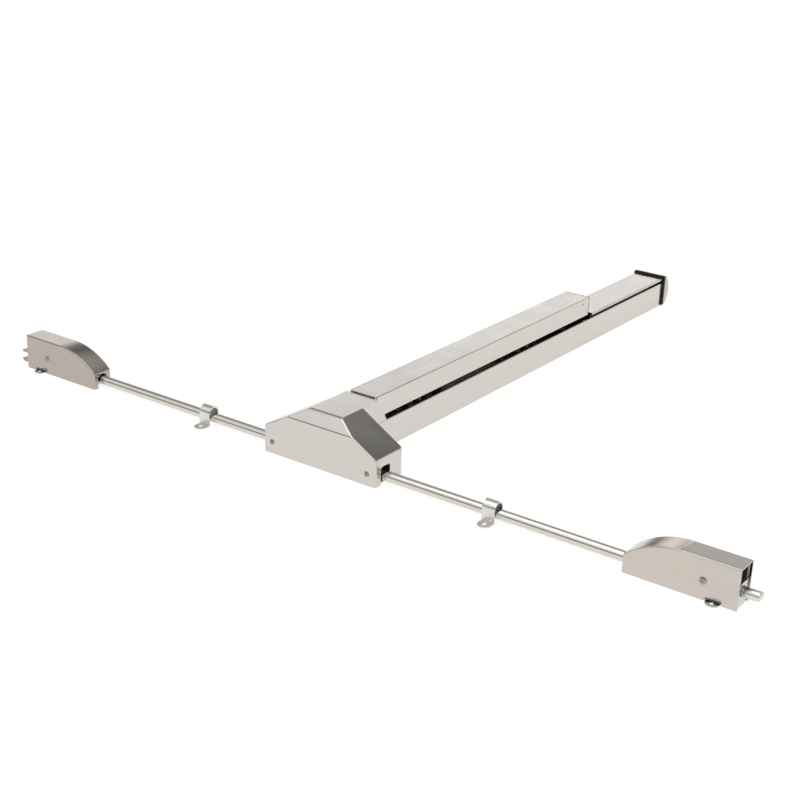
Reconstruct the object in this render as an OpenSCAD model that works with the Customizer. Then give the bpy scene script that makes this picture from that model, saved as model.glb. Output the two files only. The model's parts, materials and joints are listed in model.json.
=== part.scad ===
// Surface vertical rod exit device (panic bar), lying on its door face.
// +X runs along the push bar, +Y towards the top latch, +Z away from the door.
// The origin is on the door face, where the rod line crosses the bar's centre line.

/* [Head] */
// Length of the head cover along the rods
head_l = 203; // [195:1:215]
// Distance from the rod line to the front of the head cover
head_front = 22; // [21:0.5:24]
// Height of the head cover at its two ends
head_side_h = 41; // [38:1:44]
// Height of the flat top of the head cover
head_top_h = 82; // [80:0.5:83]
// Half width of the flat top of the head cover
crown_half = 29.5; // [28:0.5:31]
// Depth of the sloping brow between front face and flat top
brow_depth = 18; // [16:0.5:20]
// Tilt of the brow's flat part from upright, in degrees
brow_tilt = 40; // [36:1:44]

/* [Rail] */
// Half width of the rail
rail_half = 29.1; // [28.8:0.1:29.4]
// Height of the rail walls
rail_h = 45; // [44:0.5:46]
// Where the rail ends, measured from the rod line
rail_end = 996; // [960:1:1040]
// Wall of the rail
rail_t = 1.8; // [1.5:0.1:2]

/* [Push bar] */
// Where the push bar starts, measured from the rod line
bar_start = 82; // [81:0.5:84]
// Where the push bar ends, measured from the rod line
bar_end = 712; // [690:1:714]
// Half width of the push bar
bar_half = 24.2; // [23.8:0.1:24.3]
// Height of the push bar's face above the door
bar_top = 84.5; // [84:0.5:86]
// Height of the push bar's lower edge above the door
bar_skirt = 52; // [51:1:54]
// How far the push bar travels
bar_travel = 14; // [13:0.5:14]

/* [Rods] */
// Diameter of the vertical rods
rod_d = 15; // [13:0.5:15]
// Height of the rods above the door
rod_z = 13; // [12.5:0.1:13.5]
// Where the top latch starts
top_latch_y = 460; // [440:5:900]
// Where the bottom latch starts
bottom_latch_y = 484; // [460:5:900]
// Place of the guide on the top rod
top_guide_y = 230; // [160:5:300]
// Place of the guide on the bottom rod
bottom_guide_y = 280; // [200:5:360]

/* [Latches] */
// Length of a latch cover
latch_l = 156; // [154:1:158]
// Width of a latch cover
latch_w = 35; // [34.6:0.1:36]
// Height of a latch cover's flat top
latch_h = 56.3; // [55:0.1:58]
// Radius of the rising curve of a latch cover
latch_r = 115; // [110:1:125]
// Length of that curve along the latch
latch_rise = 78; // [76:1:80]
// Diameter of the bottom bolt
bolt_d = 14; // [13:0.5:16]
// How far the bottom bolt stands out of its cover
bolt_throw = 22; // [21:0.5:24]

/* [Sheet and fits] */
// Sheet thickness of the covers and the push bar
sheet_t = 1.5; // [1.2:0.1:1.6]
// Radial clearance of a pin or bolt that turns or slides in its hole
run_fit = 0.05; // [0.02:0.01:0.1]
// Side clearance of a pin in a slot
slot_fit = 0.25; // [0.2:0.01:0.3]

/* [Hidden] */

$fn = 64;
base_t = 2.5;
head_back = 42;
head_half = head_l / 2;
neck_foot_x = 101;
neck_roof_x = 80;
screw_z = 17.5;
screw_y = head_half - 15.5;

// Bell cranks under the push bar: one arm carries the bar, the other pulls the link.
crank_x = [241, 561];
crank_z = 24;
crank_swing = 15;
crank_pin_r = 3;
bar_arm = bar_travel / (2 * sin(crank_swing));
link_travel = 12;
link_arm = link_travel / (2 * sin(crank_swing));
link_pin_z = crank_z + link_arm * cos(crank_swing);
link_pin_dx = -link_travel / 2;
bar_pin_dx = bar_arm * cos(crank_swing);
bar_pin_z = crank_z + bar_travel / 2;

// Rockers in the head: one arm is pulled by the link, the other moves a rod.
rocker_x = 31.5;
rocker_y = 38;
rocker_swing = 18;
rocker_z = 22.5;
rocker_t = 4;
rocker_pull = link_travel / (2 * sin(rocker_swing));
rocker_reach = 32;
rod_travel = 2 * rocker_reach * sin(rocker_swing);
slider_y = rocker_y + rod_travel / 2;
yoke_z = 28;
yoke_t = 3;
link_y = 4;
link_t = 3;

// Claw of the top latch.
claw_y = top_latch_y + 136;
claw_z = 16;
claw_swing = 24;
claw_arm = rod_travel / (2 * sin(claw_swing));
claw_half_t = 5;
claw_near_x = -12;

rod_start = 78;
nut_t = 6;
stud_r = 4;
case_half = latch_w / 2 - sheet_t - 0.8;
case_t = 2;
ear_s = 125;
ear_x = 19;
collar_s = 86;
bolt_s = 104;
bolt_z = 20;
bolt_tail_r = 5;
bolt_shank_r = bolt_d / 2 - 0.5;
bolt_nose_s = latch_l - 1;
bolt_guide_end_s = 134;
bulkhead_s = 48;
screw_s = 109;
screw_latch_z = 26;

// ---------- shared shapes ----------

// Extrudes a Y-Z outline along X from x0 to x1.
module along_x(x0, x1) {
    translate([x0, 0, 0])
        rotate([90, 0, 90])
            linear_extrude(x1 - x0) children();
}

// Extrudes an X-Z outline along Y from y0 to y1.
module along_y(y0, y1) {
    translate([0, y1, 0])
        rotate([90, 0, 0])
            linear_extrude(y1 - y0) children();
}

module box(x0, x1, y0, y1, z0, z1) {
    translate([x0, y0, z0]) cube([x1 - x0, y1 - y0, z1 - z0]);
}

// Round bar along X, Y or Z.
module rod_x(x0, x1, y, z, r) {
    translate([x0, y, z]) rotate([0, 90, 0]) cylinder(h = x1 - x0, r = r);
}

module rod_y(y0, y1, x, z, r) {
    translate([x, y1, z]) rotate([90, 0, 0]) cylinder(h = y1 - y0, r = r);
}

module rod_z(z0, z1, x, y, r) {
    translate([x, y, z0]) cylinder(h = z1 - z0, r = r);
}

// Flat arm from a hub at the origin to a round end; half0 is its half width at the hub.
module arm_2d(x, y, half0, end_r) {
    len = sqrt(x * x + y * y);
    rotate(atan2(y, x)) {
        translate([len, 0]) circle(end_r);
        polygon([[0, -half0], [len, -end_r + 0.4], [len, end_r - 0.4], [0, half0]]);
    }
}

// Slot with round ends, long along the first axis.
module slot_2d(length, r) {
    translate([-length / 2 + r, 0]) circle(r);
    translate([length / 2 - r, 0]) circle(r);
    translate([-length / 2 + r, -r]) square([length - 2 * r, 2 * r]);
}

module round_rect_2d(x0, x1, y0, y1, r) {
    for (x = [x0 + r, x1 - r], y = [y0 + r, y1 - r]) translate([x, y]) circle(r);
    translate([x0 + r, y0]) square([x1 - x0 - 2 * r, y1 - y0]);
    translate([x0, y0 + r]) square([x1 - x0, y1 - y0 - 2 * r]);
}

// Cross recess of a screw head, cut along +Z from z = -depth to 0.
module cross_recess(size, depth) {
    for (a = [0, 90])
        rotate(a) translate([-size / 2, -size / 8, -depth]) cube([size, size / 4, depth + 1]);
}

// Pan-head screw pointing along -Z, its seat at z = 0.
module pan_screw(head_r, head_h, shank_r, shank_l) {
    difference() {
        intersection() {
            cylinder(h = head_h, r = head_r);
            translate([0, 0, head_h - 2.2 * head_r]) sphere(r = 2.2 * head_r);
        }
        translate([0, 0, head_h]) cross_recess(head_r * 1.1, head_h * 0.7);
    }
    translate([0, 0, -shank_l]) cylinder(h = shank_l, r = shank_r);
}

// Coil spring along +Z: a round wire swept round a helix, with closed ends.
function coil_ring(p, heading, wire_r, sides) = [for (i = [0:sides - 1])
    let (a = 360 * i / sides)
    p + wire_r * (cos(a) * [cos(heading), sin(heading), 0] + sin(a) * [0, 0, 1])];

module coil_spring(length, mean_r, wire_r, turns) {
    sides = 6;
    steps = 12;
    count = turns * steps;
    rings = [for (k = [0:count])
        let (a = 360 * k / steps, z = wire_r + (length - 2 * wire_r) * k / count)
        each coil_ring([mean_r * cos(a), mean_r * sin(a), z], a, wire_r, sides)];
    walls = [for (k = [0:count - 1], i = [0:sides - 1])
        let (j = (i + 1) % sides)
        [k * sides + i, (k + 1) * sides + i, (k + 1) * sides + j, k * sides + j]];
    ends = [[for (i = [0:sides - 1]) i], [for (i = [sides - 1:-1:0]) count * sides + i]];
    polyhedron(rings, concat(walls, ends), convexity = 10);
}

// ---------- head ----------

module head_plan_2d(t) {
    round_rect_2d(-head_front + t, head_back - t, -head_half + t, head_half - t, 4 - t);
}

// Front outline of the head: sloping shoulders up to the flat top.
module head_front_2d(t) {
    low = head_half - t;
    polygon([[-low, -1], [low, -1], [low, head_side_h - t], [crown_half - t / 2, head_top_h - t],
        [-crown_half + t / 2, head_top_h - t], [-low, head_side_h - t]]);
}

// Side outline of the head: upright front face, a tight bend, the flat brow and a wider bend.
module head_side_2d(t) {
    low_r = 6;
    high_r = 8;
    top_x = -head_front + brow_depth;
    flat_l = (brow_depth - low_r + (low_r - high_r) * cos(brow_tilt)) / sin(brow_tilt);
    brow_z = head_top_h - high_r + (high_r - low_r) * sin(brow_tilt) - flat_l * cos(brow_tilt);
    low = [-head_front + low_r, brow_z];
    high = [top_x, head_top_h - high_r];
    out = [-cos(brow_tilt), sin(brow_tilt)];
    translate(low) circle(low_r - t);
    translate(high) circle(high_r - t);
    polygon([[-head_front + t, -1], [-head_front + t, brow_z], low + (low_r - t) * out,
        high + (high_r - t) * out, [top_x, head_top_h - t], [head_back - t, head_top_h - t],
        [head_back - t, -1]]);
}

module head_form(t) {
    intersection() {
        translate([0, 0, t > 0 ? -1 : 0]) linear_extrude(head_top_h + 1) head_plan_2d(t);
        along_x(-head_front - 1, head_back + 1) head_front_2d(t);
        along_y(-head_half - 1, head_half + 1) head_side_2d(t);
    }
}

// Neck between head and push bar; its two sides slant down to the top of the rail.
module neck_form() {
    along_y(-rail_half, rail_half)
        polygon([[head_back - 3, rail_h + 0.1], [neck_foot_x, rail_h + 0.1],
            [neck_roof_x, head_top_h], [head_back - 3, head_top_h]]);
}

// Arched opening in an X-Z wall, from below the door face up to its round corners.
module arch_2d(x0, x1, top, r) {
    translate([x0, -1]) square([x1 - x0, top + 1 - r]);
    translate([x0 + r, -1]) square([x1 - x0 - 2 * r, top + 1]);
    for (x = [x0 + r, x1 - r]) translate([x, top - r]) circle(r);
}

module head_cover() {
    color("silver") difference() {
        union() {
            head_form(0);
            neck_form();
        }
        head_form(sheet_t);
        box(head_back - 4, neck_foot_x + 2, -rail_half + sheet_t, rail_half - sheet_t,
            -1, head_top_h - sheet_t);
        along_y(-head_half - 1, head_half + 1) arch_2d(-9, 12, 28, 4);
        for (y = [-screw_y, screw_y]) rod_x(-head_front - 1, -head_front + 3, y, screw_z, 2.3);
    }
}

module head_cover_screws() {
    color("gainsboro")
        for (y = [-screw_y, screw_y])
            translate([-head_front, y, screw_z]) rotate([0, -90, 0]) pan_screw(4.3, 1.4, 2, 7);
}

module head_chassis() {
    guide_in = 9.5;
    guide_out = 11.5;
    tab_x = -head_front + sheet_t + 0.2;
    color("silver") difference() {
        union() {
            box(-20, 40, -head_half + 4, head_half - 4, 0, base_t);
            box(36, head_back - 0.2, -26, 26, 0, rail_t + base_t);
            box(36, 112, -26, 26, rail_t, rail_t + base_t);
            for (s = [-1, 1], g = [-1, 1])
                box(min(g * guide_in, g * guide_out), max(g * guide_in, g * guide_out),
                    min(s * 26, s * 60), max(s * 26, s * 60), base_t, 20);
            for (y = [-screw_y, screw_y]) box(tab_x, tab_x + base_t, y - 6, y + 6, 0, 26);
        }
        for (x = [-12, 28], y = [-70, 70]) rod_z(-1, base_t + 1, x, y, 2.75);
        for (y = [-screw_y, screw_y]) rod_x(tab_x - 1, tab_x + 4, y, screw_z, 2);
        for (y = [-rocker_y, rocker_y]) rod_z(-1, base_t + 1, rocker_x, y, 3);
    }
}

module rocker_pivot_posts() {
    color("dimgray") for (y = [-rocker_y, rocker_y]) {
        rod_z(0, base_t, rocker_x, y, 3);
        rod_z(base_t, rocker_z - 0.2, rocker_x, y, 5.5);
        rod_z(rocker_z - 0.2, rocker_z + rocker_t + 0.2, rocker_x, y, 4);
        rod_z(rocker_z + rocker_t + 0.2, rocker_z + rocker_t + 1.4, rocker_x, y, 5.5);
    }
}

// Rocker for the top rod; the bottom one is its mirror image.
module rocker_plate() {
    pull = [rocker_pull * sin(-rocker_swing), -rocker_pull * cos(rocker_swing)];
    reach = [-rocker_reach * cos(rocker_swing), rocker_reach * sin(rocker_swing)];
    translate([rocker_x, rocker_y, rocker_z]) linear_extrude(rocker_t) difference() {
        union() {
            circle(8);
            arm_2d(pull[0], pull[1], 5.6, 5.5);
            arm_2d(reach[0], reach[1], 7, 5.5);
        }
        circle(4 + run_fit);
        translate(pull) circle(crank_pin_r);
        translate(reach) circle(crank_pin_r);
    }
}

module rocker_pin_pair() {
    pull = [rocker_x - link_travel / 2, rocker_y - rocker_pull * cos(rocker_swing)];
    rod_z(rocker_z, yoke_z + yoke_t + 2, pull[0], pull[1], crank_pin_r);
    rod_z(8, rocker_z + rocker_t, rocker_x - rocker_reach * cos(rocker_swing), slider_y, crank_pin_r);
}

module top_rocker() {
    color("lightsteelblue") rocker_plate();
}

module bottom_rocker() {
    color("lightsteelblue") mirror([0, 1, 0]) rocker_plate();
}

module top_rocker_pins() {
    color("dimgray") rocker_pin_pair();
}

module bottom_rocker_pins() {
    color("dimgray") mirror([0, 1, 0]) rocker_pin_pair();
}

// ---------- rail and its far end ----------

module rail_2d() {
    difference() {
        translate([-rail_half, 0]) square([2 * rail_half, rail_h]);
        translate([-rail_half + rail_t, rail_t])
            square([2 * (rail_half - rail_t), rail_h - 2 * rail_t]);
        translate([-bar_half - 0.5, rail_t]) square([2 * bar_half + 1, rail_h]);
    }
}

module rail() {
    color("silver") difference() {
        along_x(head_back + 0.3, rail_end) rail_2d();
        for (y = [-15, 15]) rod_z(-1, rail_t + 1, rail_end - 26, y, 2.75);
    }
}

filler_z = bar_skirt - 1.5;
filler_t = 3.5;

module filler_carrier() {
    color("black") along_x(bar_end + 8, rail_end - 46) difference() {
        translate([-24.4, rail_t]) square([48.8, filler_z - rail_t]);
        translate([-22.4, rail_t - 1]) square([44.8, filler_z - rail_t - 1]);
    }
}

module filler_plate() {
    color("silver") box(bar_end + 6, rail_end, -rail_half, rail_half, filler_z, filler_z + filler_t);
}

module end_bracket() {
    color("gray") difference() {
        union() {
            box(rail_end - 44, rail_end, -24, 24, rail_t, rail_t + base_t);
            box(rail_end - 3, rail_end, -24, 24, rail_t, filler_z);
        }
        for (y = [-15, 15]) rod_z(0, 10, rail_end - 26, y, 2.75);
        for (y = [-18, 18]) rod_x(rail_end - 4, rail_end + 1, y, 29, 2);
    }
}

gasket_half = 32.7;
gasket_t = 4.5;

module end_gasket() {
    color("black") difference() {
        along_x(rail_end, rail_end + gasket_t) round_rect_2d(-gasket_half, gasket_half, 0, 58, 3);
        for (y = [-18, 18]) rod_x(rail_end - 1, rail_end + gasket_t + 1, y, 29, 2.3);
    }
}

cap_x = rail_end + gasket_t;
cap_half = gasket_half - 0.5;
cap_h = 57.5;
cap_bulge = 14;
cap_edge = 5;

// Side outline of the end cap, bulging outwards.
module cap_side_2d(t) {
    r = ((cap_h / 2) * (cap_h / 2) + cap_bulge * cap_bulge) / (2 * cap_bulge);
    intersection() {
        translate([cap_x, t]) square([cap_edge + cap_bulge + 1, cap_h - 2 * t]);
        translate([cap_x + cap_edge + cap_bulge - r, cap_h / 2]) circle(r - t);
    }
}

module end_cap() {
    color("silver") difference() {
        along_y(-cap_half, cap_half) cap_side_2d(0);
        difference() {
            along_y(-cap_half + 2, cap_half - 2) cap_side_2d(2);
            for (y = [-18, 18]) rod_x(cap_x - 1, cap_x + 20, y, 29, 5);
        }
        for (y = [-18, 18]) {
            rod_x(cap_x - 1, cap_x + 20, y, 29, 2.3);
            rod_x(cap_x + cap_edge + cap_bulge - 3, cap_x + 30, y, 29, 4.6);
        }
    }
}

module end_cap_screws() {
    color("gainsboro") for (y = [-18, 18])
        translate([cap_x + cap_edge + cap_bulge - 3, y, 29]) rotate([0, 90, 0])
            pan_screw(4.2, 2.4, 2, 21);
}

// ---------- push bar mechanism ----------

module base_bracket(x) {
    ear_in = 14;
    ear_out = 16.5;
    difference() {
        union() {
            box(x - 18, x + 18, -ear_out, ear_out, rail_t, rail_t + base_t);
            for (s = [-1, 1])
                along_y(min(s * ear_in, s * ear_out), max(s * ear_in, s * ear_out))
                    translate([x, crank_z]) {
                        circle(9);
                        polygon([[-9, 0], [-15, rail_t + 1 - crank_z], [15, rail_t + 1 - crank_z], [9, 0]]);
                    }
        }
        rod_y(-30, 30, x, crank_z, 4);
    }
}

module base_bracket_near() {
    color("gray") base_bracket(crank_x[0]);
}

module base_bracket_far() {
    color("gray") base_bracket(crank_x[1]);
}

module crank_pivot_pins() {
    color("dimgray") for (x = crank_x) {
        rod_y(-18.5, 18.5, x, crank_z, 4);
        rod_y(16.5, 18.5, x, crank_z, 6);
    }
}

module bell_crank(x) {
    difference() {
        union() {
            rod_y(-12, 12, x, crank_z, 8);
            along_y(-2.5, 2.5) translate([x, crank_z]) {
                arm_2d(link_pin_dx, link_pin_z - crank_z, 6.5, 6);
                arm_2d(bar_pin_dx, bar_pin_z - crank_z, 6.5, 5.5);
            }
        }
        rod_y(-20, 20, x, crank_z, 4 + run_fit);
        rod_y(-5, 5, x + link_pin_dx, link_pin_z, crank_pin_r);
        rod_y(-5, 5, x + bar_pin_dx, bar_pin_z, crank_pin_r);
    }
}

module bell_crank_near() {
    color("lightsteelblue") bell_crank(crank_x[0]);
}

module bell_crank_far() {
    color("lightsteelblue") bell_crank(crank_x[1]);
}

module crank_pins(x) {
    rod_y(-15.5, 9, x + link_pin_dx, link_pin_z, crank_pin_r);
    rod_y(-11.5, 2.5, x + bar_pin_dx, bar_pin_z, crank_pin_r);
}

module crank_pins_near() {
    color("dimgray") crank_pins(crank_x[0]);
}

module crank_pins_far() {
    color("dimgray") crank_pins(crank_x[1]);
}

module crank_bush(x) {
    difference() {
        union() {
            rod_y(-15, -2.5, x + link_pin_dx, link_pin_z, 5.5);
            rod_y(-15, -13, x + link_pin_dx, link_pin_z, 7);
        }
        rod_y(-20, 0, x + link_pin_dx, link_pin_z, crank_pin_r);
    }
}

module crank_bush_near() {
    color("goldenrod") crank_bush(crank_x[0]);
}

module crank_bush_far() {
    color("goldenrod") crank_bush(crank_x[1]);
}

module touch_bar() {
    color("silver") difference() {
        along_x(bar_start, bar_end - 2) difference() {
            translate([-bar_half, bar_skirt]) square([2 * bar_half, bar_top - bar_skirt]);
            translate([-bar_half + sheet_t, bar_skirt - 1])
                square([2 * (bar_half - sheet_t), bar_top - bar_skirt - sheet_t + 1]);
        }
        for (y = [-1, 1]) rod_y(y * bar_half - 2, y * bar_half + 2, bar_end - 21, bar_top - 8.5, 1.8);
    }
}

module touch_bar_end_plate() {
    color("black") along_x(bar_end - 2, bar_end)
        round_rect_2d(-bar_half, bar_half, bar_skirt, bar_top, 1.5);
}

carriage_top = bar_top - sheet_t;
carriage_half = bar_half - sheet_t;

// Inverted channel under the push bar, with a slotted lug for each bell crank.
module bar_carriage() {
    lug_y0 = -9.5;
    lug_y1 = -6.5;
    color("gray") difference() {
        union() {
            along_x(bar_start + 8, bar_end - 14) difference() {
                translate([-carriage_half, carriage_top - 16]) square([2 * carriage_half, 16]);
                translate([-carriage_half + 2, carriage_top - 17]) square([2 * carriage_half - 4, 15]);
            }
            for (x = crank_x)
                box(x + bar_pin_dx - 8, x + bar_pin_dx + 8, lug_y0, lug_y1,
                    bar_pin_z - 7, carriage_top - 1);
        }
        for (x = crank_x)
            along_y(lug_y0 - 1, lug_y1 + 1) translate([x + bar_pin_dx + 0.5, bar_pin_z])
                slot_2d(2 * (crank_pin_r + slot_fit) + 2.4, crank_pin_r + slot_fit);
        for (s = [-1, 1])
            rod_y(min(s * carriage_half - 3, s * carriage_half + 1),
                max(s * carriage_half - 3, s * carriage_half + 3), bar_end - 21, bar_top - 8.5, 1.8);
    }
}

module bar_rivets() {
    color("dimgray") for (s = [-1, 1])
        rod_y(min(s * (bar_half - 0.4), s * (bar_half - 3.4)),
            max(s * (bar_half - 0.4), s * (bar_half - 3.4)), bar_end - 21, bar_top - 8.5, 1.8);
}

spring_x = [150, 640];
spring_y = -11.5;
spring_floor = rail_t;

module bar_return_springs() {
    color("darkgray") for (x = spring_x)
        translate([x, spring_y, spring_floor]) coil_spring(carriage_top - 2 - spring_floor, 7, 1, 9);
}

module actuator_link() {
    slot_h = 2 * (crank_pin_r + slot_fit) + 2.6;
    z0 = link_pin_z - 7;
    z1 = link_pin_z + 7;
    color("gray") difference() {
        box(46, crank_x[1] + 14, link_y, link_y + link_t, z0, z1);
        for (x = crank_x)
            along_y(link_y - 1, link_y + link_t + 1)
                translate([x + link_pin_dx, link_pin_z + 0.4]) rotate(90)
                    slot_2d(slot_h, crank_pin_r + slot_fit);
        for (x = [52, 64]) rod_y(link_y - 1, link_y + link_t + 1, x, link_pin_z, 2.5);
    }
}

module link_yoke() {
    web_y0 = link_y + link_t;
    web_y1 = web_y0 + 2.5;
    slot_x = rocker_x - link_travel / 2;
    slot_y = rocker_y - rocker_pull * cos(rocker_swing);
    color("gray") difference() {
        union() {
            box(slot_x - 7, slot_x + 14, -25, 25, yoke_z, yoke_z + yoke_t);
            box(slot_x - 7, 70, web_y0, web_y1, yoke_z, link_pin_z + 7);
        }
        for (s = [-1, 1])
            translate([slot_x, s * (slot_y - 0.4), yoke_z - 1]) linear_extrude(yoke_t + 2) rotate(90)
                slot_2d(2 * (crank_pin_r + slot_fit) + 1.6, crank_pin_r + slot_fit);
        for (x = [52, 64]) rod_y(web_y0 - 1, web_y1 + 1, x, link_pin_z, 2.5);
    }
}

module link_rivets() {
    color("silver") for (x = [52, 64]) {
        rod_y(link_y, link_y + link_t + 2.5, x, link_pin_z, 2.5);
        rod_y(link_y + link_t + 2.5, link_y + link_t + 4, x, link_pin_z, 4);
        rod_y(link_y - 1.5, link_y, x, link_pin_z, 4);
    }
}

// ---------- rods ----------

// Slider that a rocker moves; drawn for the top rod.
module rod_slider() {
    difference() {
        box(-8.9, 8.9, slider_y - 10, slider_y + 12, rod_z - 6.5, rod_z + 6.5);
        translate([rocker_x - rocker_reach * cos(rocker_swing) - 0.6, slider_y, 0])
            linear_extrude(40) slot_2d(2 * (crank_pin_r + slot_fit) + 3, crank_pin_r + slot_fit);
        rod_y(slider_y + 5.5, slider_y + 13, 0, rod_z, stud_r);
    }
}

module rod_adjuster() {
    rod_y(slider_y + 5.5, rod_start + 14, 0, rod_z, stud_r);
}

module lock_nut() {
    difference() {
        translate([0, slider_y + 12 + nut_t, rod_z]) rotate([90, 0, 0]) rotate(30)
            cylinder(h = nut_t, r = 7.4, $fn = 6);
        rod_y(0, 100, 0, rod_z, stud_r);
    }
}

// Round rod from the head to a latch; its far end screws onto the latch's stem.
module plain_rod(end_y) {
    difference() {
        rod_y(rod_start, end_y, 0, rod_z, rod_d / 2);
        rod_y(rod_start - 1, rod_start + 14, 0, rod_z, stud_r);
        rod_y(end_y - 12, end_y + 1, 0, rod_z, stud_r);
    }
}

module top_rod_slider() {
    color("gray") rod_slider();
}

module bottom_rod_slider() {
    color("gray") mirror([0, 1, 0]) rod_slider();
}

module top_rod_adjuster() {
    color("dimgray") rod_adjuster();
}

module bottom_rod_adjuster() {
    color("dimgray") mirror([0, 1, 0]) rod_adjuster();
}

module top_rod_lock_nut() {
    color("silver") lock_nut();
}

module bottom_rod_lock_nut() {
    color("silver") mirror([0, 1, 0]) lock_nut();
}

module top_rod() {
    color("silver") plain_rod(top_latch_y + 22);
}

module bottom_rod() {
    color("silver") mirror([0, 1, 0]) plain_rod(bottom_latch_y + 22);
}

guide_foot_x = 18.5;
guide_t = 1.8;
guide_in = 8.7;
guide_arch_z = 19.5;
guide_w = 20;

// Strap that holds a rod to the door: an arch with a slotted foot on each side.
module rod_guide(y) {
    translate([0, y, 0]) difference() {
        union() {
            along_y(-guide_w / 2, guide_w / 2) difference() {
                union() {
                    translate([0, guide_arch_z]) circle(guide_in + guide_t);
                    translate([-guide_in - guide_t, 0])
                        square([2 * (guide_in + guide_t), guide_arch_z]);
                }
                translate([0, guide_arch_z]) circle(guide_in);
                translate([-guide_in, -1]) square([2 * guide_in, guide_arch_z + 1]);
            }
            for (s = [-1, 1]) linear_extrude(guide_t) difference() {
                union() {
                    translate([s * guide_foot_x, 0]) circle(guide_w / 2);
                    translate([s > 0 ? guide_in : -guide_foot_x, -guide_w / 2])
                        square([guide_foot_x - guide_in, guide_w]);
                }
            }
        }
        for (s = [-1, 1])
            translate([s * guide_foot_x, 0, -1]) linear_extrude(guide_t + 2) slot_2d(9, 2.5);
    }
}

module rod_guide_top() {
    color("gainsboro") rod_guide(top_guide_y);
}

module rod_guide_bottom() {
    color("gainsboro") rod_guide(-bottom_guide_y);
}

// ---------- latches: drawn with their rod end at the origin, running along +Y ----------

// Side outline of a latch cover: low at the rod end, rising in one arc to the flat top.
module latch_side_2d(t, length) {
    intersection() {
        translate([t, -1]) square([length - t, latch_h - t + 1]);
        union() {
            translate([latch_rise, latch_h - latch_r]) circle(latch_r - t, $fn = 180);
            translate([latch_rise, -2]) square([length, latch_h - t + 2]);
        }
    }
}

module latch_cover() {
    half = latch_w / 2;
    difference() {
        intersection() {
            along_x(-half, half) latch_side_2d(0, latch_l);
            box(-half, half, -1, latch_l + 1, 0, latch_h + 1);
        }
        along_x(-half + sheet_t, half - sheet_t) latch_side_2d(sheet_t, latch_l + 5);
        along_y(-1, sheet_t + 1) arch_2d(-9.5, 9.5, 23, 9);
        box(-half - 1, half + 1, ear_s - 11, ear_s + 11, -1, 5);
        rod_x(-half - 1, half + 1, screw_s, screw_latch_z, 2.3);
    }
}

module latch_screws() {
    for (s = [-1, 1])
        translate([s * latch_w / 2, screw_s, screw_latch_z]) rotate([0, s * 90, 0])
            pan_screw(5.2, 1.6, 2, 4.2);
}

// Steel floor with two round mounting ears, common to both latches.
module case_floor() {
    difference() {
        union() {
            box(-case_half, case_half, 12, latch_l - 4, 0, base_t);
            for (s = [-1, 1]) {
                rod_z(0, 2, s * ear_x, ear_s, 9.5);
                box(min(s * 10, s * ear_x), max(s * 10, s * ear_x), ear_s - 9.5, ear_s + 9.5, 0, 2);
            }
        }
        for (s = [-1, 1]) rod_z(-1, 4, s * (ear_x + 2.5), ear_s, 2.75);
    }
}

module case_walls(s0, s1, top) {
    difference() {
        for (s = [-1, 1])
            box(min(s * case_half, s * (case_half - case_t)),
                max(s * case_half, s * (case_half - case_t)), s0, s1, 0, top);
        box(-case_half - 1, case_half + 1, ear_s - 11, ear_s + 11, base_t, 7);
    }
}

module top_latch_case_form() {
    claw_s = claw_y - top_latch_y;
    difference() {
        union() {
            case_floor();
            case_walls(86, latch_l - 4, 50);
            box(-case_half, case_half, bulkhead_s, bulkhead_s + base_t, 0, 26);
        }
        rod_y(bulkhead_s - 1, bulkhead_s + 4, 0, rod_z, stud_r + run_fit);
        rod_x(-20, 20, claw_s, claw_z, 4);
        rod_x(-20, 20, screw_s, screw_latch_z, 2);
    }
}

// Stem, collar and side plate that carry the rod's motion to the claw.
module top_slide_form() {
    claw_s = claw_y - top_latch_y;
    pin_s = claw_s + rod_travel / 2;
    pin_z = claw_z + claw_arm * cos(claw_swing);
    plate_x0 = claw_half_t + 1.5;
    plate_x1 = plate_x0 + 3;
    rod_y(10, collar_s + 4, 0, rod_z, stud_r);
    box(-9, plate_x1, collar_s, collar_s + 8, rod_z - 6, rod_z + 8);
    difference() {
        along_x(plate_x0, plate_x1)
            polygon([[collar_s, rod_z - 6], [collar_s + 8, rod_z - 6], [collar_s + 24, pin_z - 8],
                [pin_s + 7, pin_z - 8], [pin_s + 7, pin_z + 8], [collar_s + 14, pin_z + 8],
                [collar_s, rod_z + 12]]);
        along_x(plate_x0 - 1, plate_x1 + 1) translate([pin_s, pin_z + 0.9]) rotate(90)
            slot_2d(2 * (crank_pin_r + slot_fit) + 3.4, crank_pin_r + slot_fit);
    }
}

module bottom_latch_case_form() {
    difference() {
        union() {
            case_floor();
            case_walls(86, latch_l - 4, 50);
            box(-case_half + case_t + 2, case_half - case_t - 2, 118, latch_l - 2, 0, 32);
            box(-case_half, case_half, 137, latch_l - 2, 0, 32);
            box(-case_half, case_half, bulkhead_s, bulkhead_s + base_t, 0, 26);
        }
        rod_y(bulkhead_s - 1, bulkhead_s + 4, 0, rod_z, stud_r + run_fit);
        rod_y(100, bolt_guide_end_s, 0, bolt_z, bolt_shank_r + run_fit);
        rod_y(bolt_guide_end_s, 170, 0, bolt_z, bolt_d / 2 + 0.6);
        rod_x(-20, 20, screw_s, screw_latch_z, 2);
    }
}

// Stem and block that carry the rod's motion to the bottom bolt.
module bolt_carrier_form() {
    rod_y(10, collar_s + 4, 0, rod_z, stud_r);
    difference() {
        box(-9, 9, collar_s, bolt_s, rod_z - 6, bolt_z + 9);
        rod_y(bolt_s - 12, bolt_s + 1, 0, bolt_z, bolt_tail_r);
    }
}

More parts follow.
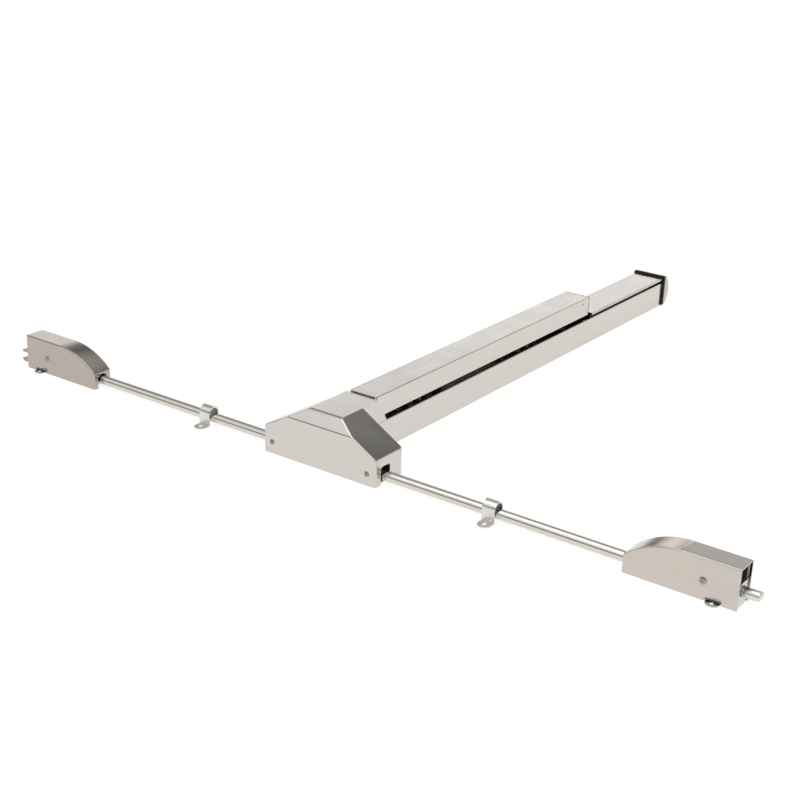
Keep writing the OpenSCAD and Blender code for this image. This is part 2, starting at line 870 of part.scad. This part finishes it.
// Round bolt: a bevelled nose of full diameter, the shank that runs in its guide and a thin tail.
module bottom_bolt_form() {
    tip = latch_l + bolt_throw;
    intersection() {
        union() {
            rod_y(bolt_s - 12, bolt_s, 0, bolt_z, bolt_tail_r);
            rod_y(bolt_s, bolt_nose_s, 0, bolt_z, bolt_shank_r);
            rod_y(bolt_nose_s, tip, 0, bolt_z, bolt_d / 2);
        }
        along_x(-20, 20)
            polygon([[70, 0], [tip - 12, bolt_z - bolt_d / 2], [tip, bolt_z - bolt_d / 2 + 3],
                [tip, bolt_z + 3], [tip - 9, 40], [70, 40]]);
    }
}

module in_top_latch() {
    translate([0, top_latch_y, 0]) children();
}

module in_bottom_latch() {
    mirror([0, 1, 0]) translate([0, bottom_latch_y, 0]) children();
}

module top_latch_case() {
    color("lightgray") in_top_latch() top_latch_case_form();
}

module top_latch_cover() {
    color("silver") in_top_latch() latch_cover();
}

module top_latch_screws() {
    color("gainsboro") in_top_latch() latch_screws();
}

module top_latch_slide() {
    color("gray") in_top_latch() top_slide_form();
}

module latch_spring() {
    translate([0, bulkhead_s + base_t, rod_z]) rotate([-90, 0, 0])
        coil_spring(collar_s - bulkhead_s - base_t, 5.4, 0.7, 8);
}

module top_latch_spring() {
    color("darkgray") in_top_latch() latch_spring();
}

module bottom_latch_spring() {
    color("darkgray") in_bottom_latch() latch_spring();
}

module bottom_latch_case() {
    color("lightgray") in_bottom_latch() bottom_latch_case_form();
}

module bottom_latch_cover() {
    color("silver") in_bottom_latch() latch_cover();
}

module bottom_latch_screws() {
    color("gainsboro") in_bottom_latch() latch_screws();
}

module bolt_carrier() {
    color("gray") in_bottom_latch() bolt_carrier_form();
}

module bottom_bolt() {
    color("gainsboro") in_bottom_latch() bottom_bolt_form();
}

module claw_pivot_pin() {
    color("dimgray") rod_x(-case_half, case_half, claw_y, claw_z, 4);
}

// Two-pronged claw that holds the strike's roller, with an arm for the slide's pin.
module latch_claw() {
    pin = [claw_arm * sin(claw_swing), claw_arm * cos(claw_swing)];
    color("gainsboro") along_x(claw_near_x, claw_half_t) translate([claw_y, claw_z]) difference() {
        union() {
            circle(11);
            arm_2d(pin[0], pin[1], 8, 6);
            polygon([[-4, -7], [2, -10], [36, -10], [40, -6], [38, -4.5], [11.5, -4.5], [11.5, 5.5],
                [39, 6.5], [39, 9], [29, 13.5], [20, 13.5], [-3, 8]]);
        }
        circle(4 + run_fit);
        translate(pin) circle(crank_pin_r);
    }
}

module claw_link_pin() {
    color("dimgray") rod_x(claw_near_x, claw_half_t + 6.5, claw_y + claw_arm * sin(claw_swing),
        claw_z + claw_arm * cos(claw_swing), crank_pin_r);
}

head_chassis();
head_cover();
head_cover_screws();
rocker_pivot_posts();
top_rocker();
top_rocker_pins();
bottom_rocker();
bottom_rocker_pins();
rail();
filler_carrier();
filler_plate();
end_bracket();
end_gasket();
end_cap();
end_cap_screws();
base_bracket_near();
base_bracket_far();
crank_pivot_pins();
bar_return_springs();
bell_crank_near();
crank_pins_near();
crank_bush_near();
bell_crank_far();
crank_pins_far();
crank_bush_far();
touch_bar();
touch_bar_end_plate();
bar_carriage();
bar_rivets();
actuator_link();
link_yoke();
link_rivets();
top_rod_slider();
top_rod_adjuster();
top_rod_lock_nut();
top_rod();
top_latch_slide();
bottom_rod_slider();
bottom_rod_adjuster();
bottom_rod_lock_nut();
bottom_rod();
bolt_carrier();
bottom_bolt();
rod_guide_top();
rod_guide_bottom();
top_latch_case();
top_latch_cover();
top_latch_screws();
top_latch_spring();
claw_pivot_pin();
latch_claw();
claw_link_pin();
bottom_latch_case();
bottom_latch_cover();
bottom_latch_screws();
bottom_latch_spring();
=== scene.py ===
import json
import math

import bmesh
import bpy
from mathutils import Matrix, Vector


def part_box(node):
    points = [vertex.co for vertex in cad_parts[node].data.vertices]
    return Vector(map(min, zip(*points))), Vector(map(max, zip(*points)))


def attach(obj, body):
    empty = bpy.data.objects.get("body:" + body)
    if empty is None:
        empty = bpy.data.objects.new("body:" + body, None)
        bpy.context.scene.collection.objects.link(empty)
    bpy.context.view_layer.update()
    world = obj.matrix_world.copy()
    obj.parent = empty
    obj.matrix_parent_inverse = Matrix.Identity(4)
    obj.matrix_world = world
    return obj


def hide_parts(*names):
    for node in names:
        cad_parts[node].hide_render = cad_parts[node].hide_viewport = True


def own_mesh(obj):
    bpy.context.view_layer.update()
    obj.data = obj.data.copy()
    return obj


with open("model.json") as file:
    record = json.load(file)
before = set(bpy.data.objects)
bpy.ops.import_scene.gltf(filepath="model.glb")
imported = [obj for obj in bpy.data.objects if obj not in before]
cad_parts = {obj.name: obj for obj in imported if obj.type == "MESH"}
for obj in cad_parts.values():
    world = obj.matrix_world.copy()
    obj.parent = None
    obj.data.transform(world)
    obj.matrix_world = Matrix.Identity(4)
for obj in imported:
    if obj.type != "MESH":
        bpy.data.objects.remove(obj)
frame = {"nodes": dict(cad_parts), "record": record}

MM = 0.001
NODES = frame["nodes"]
BODIES = frame["record"]["behaviour"]["bodies"]
SLOTS = {row["node"]: row["material_slot"] for row in frame["record"]["subparts"]}
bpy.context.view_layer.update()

STEEL = (0.66, 0.632, 0.60)
LATCH_STEEL = (0.60, 0.553, 0.51)
TOP_LATCH_PAINTED_SHADE = (0.47, 0.42, 0.38)    # the top latch only: painted shade, a darker copy of the latch steel to match how dark it looks
DARK_STEEL = (0.22, 0.217, 0.21)
WIRE_STEEL = (0.20, 0.20, 0.205)
SCREW_STEEL = (0.38, 0.36, 0.34)
ZINC_GREEN = (0.60, 0.655, 0.61)
ZINC_WARM = (0.74, 0.725, 0.69)
BRASS = (0.78, 0.48, 0.20)
BLACK = (0.009, 0.009, 0.009)
DUST = (0.045, 0.044, 0.041)


# Sizes that the frame does not give
HEAD_FOLD = 1.6 * MM
LATCH_FOLD = 1.8 * MM
BAR_FOLD = 1.3 * MM
RAIL_FOLD = 1.5 * MM
FILLER_FOLD = 1.2 * MM
CAP_FOLD = 1.6 * MM
SHOULDER_Z = 41 * MM                 # where the head's ends meet its sloping shoulders
CROWN_HALF = 29.5 * MM               # half the width of the head's flat top
HEAD_SCREW_Z = 17.5 * MM
ARCH_X = (-9.5 * MM, 12.5 * MM)      # around the opening for the rod
ARCH_TOP = 28.5 * MM
BAR_WIRE, BAR_TURNS = 1.0 * MM, 9
LATCH_WIRE, LATCH_TURNS = 0.7 * MM, 8


# ---------- material parts ----------

def new_material(name):
    """An empty material with its node tree and its Principled shader."""
    material = bpy.data.materials.new(name)
    material.use_nodes = True
    return material, material.node_tree, material.node_tree.nodes["Principled BSDF"]


def add(tree, kind, **values):
    """A new node with its settings, and the default values of its inputs, set by name."""
    node = tree.nodes.new(kind)
    for key, value in values.items():
        if hasattr(node, key):
            setattr(node, key, value)
        else:
            node.inputs[key.replace("_", " ")].default_value = value
    return node


def noise(tree, scales, detail=3.0, rough=0.55):
    """Noise over the object's own metres, with so many cells a metre along X, Y and Z."""
    place = add(tree, "ShaderNodeTexCoord")
    mapping = add(tree, "ShaderNodeMapping", Scale=scales)
    texture = add(tree, "ShaderNodeTexNoise", Scale=1.0, Detail=detail, Roughness=rough)
    tree.links.new(place.outputs["Object"], mapping.inputs["Vector"])
    tree.links.new(mapping.outputs["Vector"], texture.inputs["Vector"])
    return texture.outputs["Fac"]


def spread(tree, value, low, high):
    """Stretches noise, which stays mostly between 0.3 and 0.7, over low to high."""
    node = add(tree, "ShaderNodeMapRange", From_Min=0.3, From_Max=0.7, To_Min=low, To_Max=high)
    tree.links.new(value, node.inputs["Value"])
    return node.outputs["Result"]


def mix(tree, value, first, second):
    """Colour that goes from first to second with value; each is a colour or a node's output."""
    node = add(tree, "ShaderNodeMixRGB")
    tree.links.new(value, node.inputs["Fac"])
    for socket, colour in ((node.inputs["Color1"], first), (node.inputs["Color2"], second)):
        if isinstance(colour, tuple):
            socket.default_value = (*colour, 1.0)
        else:
            tree.links.new(colour, socket)
    return node.outputs["Color"]


def total(tree, first, second):
    """Sum of two node outputs."""
    node = add(tree, "ShaderNodeMath", operation="ADD")
    tree.links.new(first, node.inputs[0])
    tree.links.new(second, node.inputs[1])
    return node.outputs[0]


def emboss(tree, shader, height, strength, distance):
    bump = add(tree, "ShaderNodeBump", Strength=strength, Distance=distance)
    tree.links.new(height, bump.inputs["Height"])
    tree.links.new(bump.outputs["Normal"], shader.inputs["Normal"])


def shade(colour, factor):
    return tuple(min(1.0, c * factor) for c in colour)


def tint(colour, warmth):
    """Warmer (above 0) or cooler (below 0) version of a colour."""
    red, green, blue = colour
    return (red * (1 + 0.5 * warmth), green, blue * (1 - warmth))


def along(axis, fine, coarse):
    """Cells a metre for streaks that run along one axis."""
    scales = [coarse] * 3
    scales["XYZ".index(axis)] = fine
    return scales


def brushed(name, colour, axis, rough=0.22, streak=1.0, grain=0.5):
    """Sheet steel brushed along one axis: hairlines, broad faint bands, clouds and smudges."""
    material, tree, shader = new_material(name)
    hairline = noise(tree, along(axis, 9.0, 1400.0), detail=4.0, rough=0.6)
    band = noise(tree, along(axis, 3.0, 150.0), detail=2.0)
    cloud = noise(tree, (11.0, 11.0, 11.0), detail=2.0)
    smudge = noise(tree, (26.0, 26.0, 26.0), detail=5.0)
    base = mix(tree, spread(tree, cloud, 0.0, 1.0), tint(colour, 0.05), tint(colour, -0.03))
    banded = mix(tree, spread(tree, band, 0.0, 0.45 * streak), base, shade(colour, 0.92))
    lined = mix(tree, spread(tree, hairline, 0.0, 0.4 * streak), banded, shade(colour, 0.84))
    tree.links.new(lined, shader.inputs["Base Color"])
    gloss = total(tree, spread(tree, hairline, rough - 0.03, rough + 0.04),
                  spread(tree, smudge, -0.015, 0.03))
    tree.links.new(gloss, shader.inputs["Roughness"])
    emboss(tree, shader, hairline, 0.1, 0.00002)
    tangent = add(tree, "ShaderNodeTangent", direction_type="RADIAL", axis=axis)
    tree.links.new(tangent.outputs["Tangent"], shader.inputs["Tangent"])
    shader.inputs["Anisotropic"].default_value = grain
    shader.inputs["Metallic"].default_value = 1.0
    return material


def machined(name, colour, rough=0.32, grain=420.0):
    """Turned or milled steel: short fine marks in no one direction, a few darker oily patches."""
    material, tree, shader = new_material(name)
    marks = noise(tree, (grain, grain, grain), detail=5.0, rough=0.65)
    patch = noise(tree, (45.0, 45.0, 45.0), detail=3.0)
    tone = mix(tree, spread(tree, patch, 0.0, 1.0), shade(colour, 1.1), shade(colour, 0.72))
    tree.links.new(tone, shader.inputs["Base Color"])
    tree.links.new(spread(tree, marks, rough - 0.08, rough + 0.12), shader.inputs["Roughness"])
    emboss(tree, shader, marks, 0.2, 0.0001)
    shader.inputs["Metallic"].default_value = 1.0
    return material


def zinc(name, colour, clouded):
    """Clear zinc plate: bright, clouded with a pale green film, with faint crystals."""
    material, tree, shader = new_material(name)
    cloud = noise(tree, (55.0, 55.0, 55.0), detail=4.0)
    crystal = noise(tree, (650.0, 650.0, 650.0), detail=3.0)
    tone = mix(tree, spread(tree, cloud, 0.0, clouded), colour, ZINC_GREEN)
    speck = mix(tree, spread(tree, crystal, 0.0, 0.3), tone, shade(colour, 0.75))
    tree.links.new(speck, shader.inputs["Base Color"])
    tree.links.new(spread(tree, crystal, 0.2, 0.34), shader.inputs["Roughness"])
    emboss(tree, shader, crystal, 0.15, 0.00008)
    shader.inputs["Metallic"].default_value = 1.0
    return material


def plastic(name, colour):
    """Black moulded plastic with a fine spark-eroded texture and patches of dust."""
    material, tree, shader = new_material(name)
    pebble = noise(tree, (1300.0, 1300.0, 1300.0), detail=2.0)
    dust = noise(tree, (30.0, 30.0, 30.0), detail=5.0)
    tree.links.new(mix(tree, spread(tree, dust, 0.0, 0.25), colour, DUST), shader.inputs["Base Color"])
    tree.links.new(spread(tree, pebble, 0.42, 0.58), shader.inputs["Roughness"])
    emboss(tree, shader, pebble, 0.25, 0.0001)
    shader.inputs["Specular IOR Level"].default_value = 0.25
    return material


MATERIALS = {
    "steel_x": brushed("steel_brushed_x", STEEL, "X"),
    "steel_y": brushed("steel_brushed_y", STEEL, "Y"),
    "head": brushed("steel_brushed_head", shade(STEEL, 0.97), "Y", rough=0.17),
    # the end cap's steel is the same steel darkened to 0.8: painted shade
    "cap": brushed("steel_brushed_cap_painted_shade", shade(STEEL, 0.8), "Z"),
    "latch": brushed("steel_brushed_latch", LATCH_STEEL, "Y", rough=0.16),
    # the top latch cover's steel carries painted shade: a darker copy of the latch steel
    "top_latch": brushed("steel_brushed_top_latch_painted_shade", TOP_LATCH_PAINTED_SHADE, "Y", rough=0.16),
    "rod": brushed("steel_drawn_rod", STEEL, "Y", rough=0.13, streak=0.5, grain=0.2),
    "screw": machined("steel_screw", SCREW_STEEL, rough=0.24),
    "plain": machined("steel_plain", DARK_STEEL),
    "wire": machined("steel_wire", WIRE_STEEL, rough=0.3),
    "zinc": zinc("zinc_clear", ZINC_GREEN, 0.8),
    "bright": zinc("zinc_bright", ZINC_WARM, 0.35),
    "brass": machined("brass_turned", BRASS, rough=0.24),
    "black": plastic("black_plastic", BLACK),
}

SLOT_MATERIAL = {"screw_steel": "screw", "zinc_plate": "zinc", "plain_steel": "plain",
                 "spring_steel": "wire", "brass": "brass", "black_plastic": "black",
                 "brushed_steel": "steel_y"}
NODE_MATERIAL = {"rail": "steel_x", "filler_plate": "steel_x", "touch_bar": "steel_x",
                 "end_cap": "cap", "head_cover": "head", "top_latch_cover": "top_latch",
                 "bottom_latch_cover": "latch", "bar_rivets": "plain", "latch_claw": "screw",
                 "top_rod": "rod", "bottom_rod": "rod", "bottom_bolt": "bright",
                 "rod_guide_top": "bright", "rod_guide_bottom": "bright"}


def finish_of(node):
    return MATERIALS[NODE_MATERIAL.get(node, SLOT_MATERIAL[SLOTS[node]])]


def paint(piece, material):
    piece.data.materials.clear()
    piece.data.materials.append(material)


# ---------- meshes ----------

SHARP = math.radians(30.0)
BROAD = 4 * MM           # area over outline of the narrowest face that counts as a flat one


def body_of(node):
    return next(body for body, nodes in BODIES.items() if node in nodes)


def stand_in(name, mesh, node, smooth=True):
    """Makes a piece of a mesh, in place of one CAD node and with its finish, slot and body."""
    piece = bpy.data.objects.new(name, mesh)
    bpy.context.scene.collection.objects.link(piece)
    if smooth:
        mesh.shade_smooth()
        mesh.set_sharp_from_angle(angle=SHARP)
    paint(piece, finish_of(node))
    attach(piece, body_of(node))
    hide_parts(node)
    return piece


def keep_flat(mesh):
    """Marks the outline of every broad flat face sharp, so that it takes no shading from a bend beside it."""
    ends = [vertex.co for vertex in mesh.vertices]
    edges = {tuple(sorted(edge.vertices)): edge for edge in mesh.edges}
    for face in mesh.polygons:
        outline = [edges[tuple(sorted(key))] for key in face.edge_keys]
        around = sum((ends[edge.vertices[0]] - ends[edge.vertices[1]]).length for edge in outline)
        if face.area / around > BROAD:
            for edge in outline:
                edge.use_edge_sharp = True


def folded(name, node, radius, is_fold, segments=4):
    """A sheet part from its CAD mesh, with the outer edges that is_fold picks bent to a radius."""
    build = bmesh.new()
    build.from_mesh(NODES[node].data)
    bmesh.ops.remove_doubles(build, verts=build.verts, dist=0.01 * MM)
    bmesh.ops.dissolve_limit(build, angle_limit=math.radians(0.5), verts=build.verts, edges=build.edges)
    folds = [edge for edge in build.edges
             if len(edge.link_faces) == 2 and edge.calc_face_angle(0.0) > SHARP
             and is_fold((edge.verts[0].co + edge.verts[1].co) / 2)]
    bmesh.ops.bevel(build, geom=folds, offset=radius, segments=segments, profile=0.5,
                    affect="EDGES", clamp_overlap=False)
    bmesh.ops.dissolve_limit(build, angle_limit=math.radians(0.5), verts=build.verts, edges=build.edges)
    mesh = bpy.data.meshes.new(name)
    build.to_mesh(mesh)
    build.free()
    piece = stand_in(name, mesh, node)
    keep_flat(mesh)
    weigh = piece.modifiers.new("flat_faces", "WEIGHTED_NORMAL")
    weigh.keep_sharp = True
    return piece


def near(value, target, slack=0.3 * MM):
    return abs(value - target) < slack


def smooth_curves():
    """A modifier group that shades curved faces smooth and keeps edges over the sharp angle crisp."""
    group = bpy.data.node_groups.new("smooth_curves", "GeometryNodeTree")
    group.interface.new_socket("Geometry", in_out="INPUT", socket_type="NodeSocketGeometry")
    group.interface.new_socket("Geometry", in_out="OUTPUT", socket_type="NodeSocketGeometry")
    start = group.nodes.new("NodeGroupInput")
    end = group.nodes.new("NodeGroupOutput")
    angle = group.nodes.new("GeometryNodeInputMeshEdgeAngle")
    flat_enough = group.nodes.new("FunctionNodeCompare")
    flat_enough.operation = "LESS_THAN"
    flat_enough.inputs["B"].default_value = SHARP
    edges = group.nodes.new("GeometryNodeSetShadeSmooth")
    edges.domain = "EDGE"
    faces = group.nodes.new("GeometryNodeSetShadeSmooth")
    faces.domain = "FACE"
    group.links.new(start.outputs[0], faces.inputs["Geometry"])
    group.links.new(faces.outputs[0], edges.inputs["Geometry"])
    group.links.new(angle.outputs["Unsigned Angle"], flat_enough.inputs["A"])
    group.links.new(flat_enough.outputs[0], edges.inputs["Shade Smooth"])
    group.links.new(edges.outputs[0], end.inputs[0])
    return group


SMOOTH_CURVES = smooth_curves()


def soften(piece, width, segments=2):
    """Rounds the sharp edges of a CAD node with modifiers only: its mesh stays as packed."""
    weld = piece.modifiers.new("weld", "WELD")
    weld.merge_threshold = 0.00001
    flat = piece.modifiers.new("flat", "DECIMATE")
    flat.decimate_type = "DISSOLVE"
    flat.angle_limit = math.radians(1.0)
    round_edge = piece.modifiers.new("round_edge", "BEVEL")
    round_edge.width = width
    round_edge.segments = segments
    round_edge.limit_method = "ANGLE"
    round_edge.angle_limit = math.radians(35.0)
    round_edge.use_clamp_overlap = True
    smooth = piece.modifiers.new("smooth_curves", "NODES")
    smooth.node_group = SMOOTH_CURVES
    weigh = piece.modifiers.new("flat_faces", "WEIGHTED_NORMAL")
    weigh.keep_sharp = True


def ring_tube(build, rings):
    """Joins rings of points into a closed tube with capped ends."""
    loops = [[build.verts.new(point) for point in ring] for ring in rings]
    sides = len(loops[0])
    for first, second in zip(loops, loops[1:]):
        for i in range(sides):
            j = (i + 1) % sides
            build.faces.new((first[i], first[j], second[j], second[i]))
    build.faces.new(list(reversed(loops[0])))
    build.faces.new(loops[-1])


def coil(build, foot, axis, length, mean, wire, turns, steps=28, sides=10):
    """Compression spring from foot along an axis, with one closed turn at each end."""
    out = Vector((0, 0, 1)) if abs(axis.z) < 0.5 else Vector((1, 0, 0))
    side = axis.cross(out)
    closed = 2 * wire
    open_pitch = (length - 2 * wire - 2 * closed) / (turns - 2)
    rings = []
    for k in range(turns * steps + 1):
        turn = k / steps
        rise = wire + closed * min(turn, 1.0) + open_pitch * min(max(turn - 1.0, 0.0), turns - 2)
        rise += closed * max(turn - (turns - 1), 0.0)
        radial = out * math.cos(math.tau * turn) + side * math.sin(math.tau * turn)
        centre = foot + axis * rise + radial * mean
        rings.append([centre + wire * (radial * math.cos(math.tau * i / sides)
                                       + axis * math.sin(math.tau * i / sides))
                      for i in range(sides)])
    ring_tube(build, rings)


def springs(name, node, feet, axis, length, mean, wire, turns):
    build = bmesh.new()
    for foot in feet:
        coil(build, foot, axis, length, mean, wire, turns)
    bmesh.ops.recalc_face_normals(build, faces=build.faces)
    mesh = bpy.data.meshes.new(name)
    build.to_mesh(mesh)
    build.free()
    return stand_in(name, mesh, node)


def threaded_stud(name, node, pitch=1.25 * MM, depth=0.7 * MM, sides=28, cuts=4):
    """Stud along Y in place of its plain CAD cylinder, with a screw thread down its whole length."""
    low, high = (Vector(corner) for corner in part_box(node))
    middle = (low + high) / 2
    radius = (high.z - low.z) / 2
    count = int((high.y - low.y) / pitch * cuts)
    build = bmesh.new()
    rings = []
    for k in range(count + 1):
        y = low.y + (high.y - low.y) * k / count
        ring = []
        for i in range(sides):
            turn = i / sides
            groove = abs(2 * (((y - low.y) / pitch - turn) % 1.0) - 1)
            reach = radius - depth * groove
            ring.append(Vector((middle.x + reach * math.sin(math.tau * turn), y,
                                middle.z + reach * math.cos(math.tau * turn))))
        rings.append(ring)
    ring_tube(build, rings)
    bmesh.ops.recalc_face_normals(build, faces=build.faces)
    mesh = bpy.data.meshes.new(name)
    build.to_mesh(mesh)
    build.free()
    return stand_in(name, mesh, node)


# ---------- sheet parts with bent edges ----------

def head_shell():
    """Head cover: every outer edge of the shell above its foot is bent or blended."""
    low, high = (Vector(corner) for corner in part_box("head_cover"))
    rail_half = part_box("rail")[1][1]
    head_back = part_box("rail")[0][0]

    def is_fold(p):
        on_side = near(abs(p.y), high.y) or near(p.x, low.x) or near(p.z, high.z)
        slope_z = SHOULDER_Z + (high.y - abs(p.y)) * (high.z - SHOULDER_Z) / (high.y - CROWN_HALF)
        on_slope = near(p.z, slope_z) and p.z > SHOULDER_Z - 1 * MM and p.x < head_back
        inside = abs(p.y) < rail_half + 1 * MM and p.x > head_back - 1 * MM
        screw_hole = (near(p.x, low.x, 0.01 * MM) and near(p.z, HEAD_SCREW_Z, 3 * MM)
                      and abs(p.y) < high.y - 10 * MM)
        rod_arch = (near(abs(p.y), high.y, 0.01 * MM) and ARCH_X[0] < p.x < ARCH_X[1]
                    and p.z < ARCH_TOP)
        return (on_side or on_slope) and p.z > 1 * MM and not (inside or screw_hole or rod_arch)

    return folded("head_cover_shell", "head_cover", HEAD_FOLD, is_fold)


def latch_shell(name, node):
    """Latch cover: top folds, the corners of the rod end and the edge above them are bent."""
    low, high = (Vector(corner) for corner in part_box(node))
    open_end = low.y if abs(low.y) > abs(high.y) else high.y
    rod_end = high.y if open_end == low.y else low.y

    def is_fold(p):
        side = near(abs(p.x), high.x) and p.z > 24 * MM and abs(p.y - open_end) > 1 * MM
        corner = near(p.y, rod_end) and near(abs(p.x), high.x) and p.z > 1 * MM
        lip = near(p.y, rod_end) and p.z > 24 * MM and abs(p.x) < high.x
        screw_hole = near(abs(p.x), high.x) and p.z < 30 * MM and abs(p.y - rod_end) > 60 * MM
        return (side or corner or lip) and not screw_hole

    return folded(name, node, LATCH_FOLD, is_fold)


def channel_folds(node, radius):
    """Folds along X of a channel: its outer upper corners."""
    low, high = (Vector(corner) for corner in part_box(node))

    def is_fold(p):
        return near(p.z, high.z) and near(abs(p.y), high.y) and low.x + 1 * MM < p.x < high.x - 1 * MM

    return folded(node + "_sheet", node, radius, is_fold)


def cap_shell():
    """End cap: its side edges and the edges of its bulge are rounded."""
    low, high = (Vector(corner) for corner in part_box("end_cap"))

    def is_fold(p):
        return near(abs(p.y), high.y) or (p.x > low.x + 1 * MM and (near(p.z, low.z) or near(p.z, high.z)))

    return folded("end_cap_shell", "end_cap", CAP_FOLD, is_fold)


def build_pieces():
    head_shell()
    latch_shell("top_latch_cover_shell", "top_latch_cover")
    latch_shell("bottom_latch_cover_shell", "bottom_latch_cover")
    channel_folds("touch_bar", BAR_FOLD)
    channel_folds("rail", RAIL_FOLD)
    channel_folds("filler_plate", FILLER_FOLD)
    cap_shell()
    threaded_stud("top_rod_adjuster_thread", "top_rod_adjuster")
    threaded_stud("bottom_rod_adjuster_thread", "bottom_rod_adjuster")

    low, high = (Vector(corner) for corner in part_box("bar_return_springs"))
    reach = (high.y - low.y) / 2
    y = (low.y + high.y) / 2
    feet = [Vector((low.x + reach, y, low.z)), Vector((high.x - reach, y, low.z))]
    bar_coils = springs("bar_return_coils", "bar_return_springs", feet, Vector((0, 0, 1)),
                        high.z - low.z, reach - BAR_WIRE, BAR_WIRE, BAR_TURNS)
    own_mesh(bar_coils)
    for side, facing in (("top", 1), ("bottom", -1)):
        low, high = (Vector(corner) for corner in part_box(side + "_latch_spring"))
        foot_y = low.y if facing > 0 else high.y
        reach = (high.x - low.x) / 2
        foot = Vector((0, foot_y, (low.z + high.z) / 2))
        length = high.y - low.y
        coils = springs(side + "_latch_coils", side + "_latch_spring", [foot], Vector((0, facing, 0)),
                        length, reach - LATCH_WIRE, LATCH_WIRE, LATCH_TURNS)
        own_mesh(coils)


REPLACED = ("head_cover", "top_latch_cover", "bottom_latch_cover", "touch_bar", "rail", "filler_plate",
            "end_cap", "top_rod_adjuster", "bottom_rod_adjuster", "bar_return_springs",
            "top_latch_spring", "bottom_latch_spring")
EDGE = {"end_gasket": 0.6, "rod_guide_top": 0.4, "rod_guide_bottom": 0.4, "bottom_bolt": 0.6}

for cad_name, cad_node in NODES.items():
    if cad_name in SLOTS and cad_name not in REPLACED:
        paint(cad_node, finish_of(cad_name))
        soften(cad_node, EDGE.get(cad_name, 0.3) * MM)
build_pieces()


# ---------- stage ----------

CAMERA_AZIMUTH = math.radians(-54.893)
CAMERA_ELEVATION = math.radians(21.956)
CAMERA_ROLL = math.radians(2.154)
CAMERA_DISTANCE = 2.3784
CAMERA_TARGET = Vector((0.2677, 0.0654, 0.0))
CAMERA_LENS = 66.96


def make_camera():
    back = Vector((math.sin(CAMERA_AZIMUTH) * math.cos(CAMERA_ELEVATION),
                   -math.cos(CAMERA_AZIMUTH) * math.cos(CAMERA_ELEVATION),
                   math.sin(CAMERA_ELEVATION)))
    right = Vector((0, 0, 1)).cross(back).normalized()
    up = back.cross(right)
    turned_right = math.cos(CAMERA_ROLL) * right + math.sin(CAMERA_ROLL) * up
    turned_up = -math.sin(CAMERA_ROLL) * right + math.cos(CAMERA_ROLL) * up
    data = bpy.data.cameras.new("camera")
    data.sensor_width = 36.0
    data.lens = CAMERA_LENS
    data.clip_end = 200.0
    camera = bpy.data.objects.new("camera", data)
    place = Matrix((turned_right, turned_up, back)).transposed().to_4x4()
    place.translation = CAMERA_TARGET + back * CAMERA_DISTANCE
    camera.matrix_world = place
    bpy.context.scene.collection.objects.link(camera)
    bpy.context.scene.camera = camera


def sky_ramp(tree, height, stops):
    """Light by height over the horizon: stops are (sine of elevation, light)."""
    ramp = add(tree, "ShaderNodeValToRGB")
    ramp.color_ramp.interpolation = "EASE"
    while len(ramp.color_ramp.elements) < len(stops):
        ramp.color_ramp.elements.new(0.5)
    for element, (position, light) in zip(ramp.color_ramp.elements, stops):
        element.position = position
        element.color = (light * 0.5, light * 0.5, light * 0.5, 1.0)
    tree.links.new(height, ramp.inputs["Fac"])
    return ramp.outputs["Color"]


def make_world():
    """Studio room: a dark skirting, a bright wall on the bar's side with a dim ceiling over it,
    and one large soft box over the head's side."""
    world = bpy.data.worlds.new("studio")
    bpy.context.scene.world = world
    world.use_nodes = True
    tree = world.node_tree
    place = add(tree, "ShaderNodeTexCoord")
    split = add(tree, "ShaderNodeSeparateXYZ")
    tree.links.new(place.outputs["Generated"], split.inputs["Vector"])
    bar_side = sky_ramp(tree, split.outputs["Z"], ((0.0, 0.12), (0.11, 0.14), (0.21, 1.0), (0.34, 1.38),
                                                   (0.41, 0.80), (0.54, 0.32), (0.66, 0.15), (0.80, 0.60)))
    head_side = sky_ramp(tree, split.outputs["Z"], ((0.0, 0.10), (0.18, 0.13), (0.36, 0.80), (0.58, 1.05),
                                                    (0.80, 0.90), (1.0, 0.70)))
    side = add(tree, "ShaderNodeMapRange", From_Min=0.15, From_Max=-0.25, To_Min=0.0, To_Max=1.0)
    side.interpolation_type = "SMOOTHSTEP"
    tree.links.new(split.outputs["X"], side.inputs["Value"])
    sky = mix(tree, side.outputs["Result"], bar_side, head_side)
    background = tree.nodes["Background"]
    tree.links.new(sky, background.inputs["Color"])
    background.inputs["Strength"].default_value = 2.0


def make_light(name, place, aim, size, power):
    data = bpy.data.lights.new(name, "AREA")
    data.shape = "RECTANGLE"
    data.size, data.size_y = size
    data.energy = power
    light = bpy.data.objects.new(name, data)
    light.location = place
    light.rotation_mode = "QUATERNION"
    light.rotation_quaternion = (Vector(aim) - Vector(place)).to_track_quat("-Z", "Y")
    bpy.context.scene.collection.objects.link(light)


def make_floor():
    """White paper lit evenly from below, so that it stays white and takes only a faint shadow."""
    material, tree, shader = new_material("floor_paper")
    fibre = noise(tree, (90.0, 90.0, 90.0), detail=3.0)
    tree.links.new(mix(tree, fibre, (0.20, 0.20, 0.20), (0.22, 0.22, 0.22)), shader.inputs["Base Color"])
    shader.inputs["Emission Color"].default_value = (1.0, 0.985, 0.965, 1.0)
    shader.inputs["Emission Strength"].default_value = 0.88
    shader.inputs["Specular IOR Level"].default_value = 0.0
    shader.inputs["Roughness"].default_value = 1.0
    mesh = bpy.data.meshes.new("floor")
    build = bmesh.new()
    half = 40.0
    corners = [build.verts.new((x, y, -0.0002)) for x, y in
               ((-half, -half), (half, -half), (half, half), (-half, half))]
    build.faces.new(corners)
    build.to_mesh(mesh)
    build.free()
    floor = bpy.data.objects.new("floor", mesh)
    floor.data.materials.append(material)
    bpy.context.scene.collection.objects.link(floor)


make_camera()
make_world()
make_floor()
make_light("ceiling_light", (-0.6, 0.2, 2.6), (0.3, 0.0, 0.0), (2.4, 2.4), 18.0)
bpy.context.scene.view_settings.view_transform = "Standard"
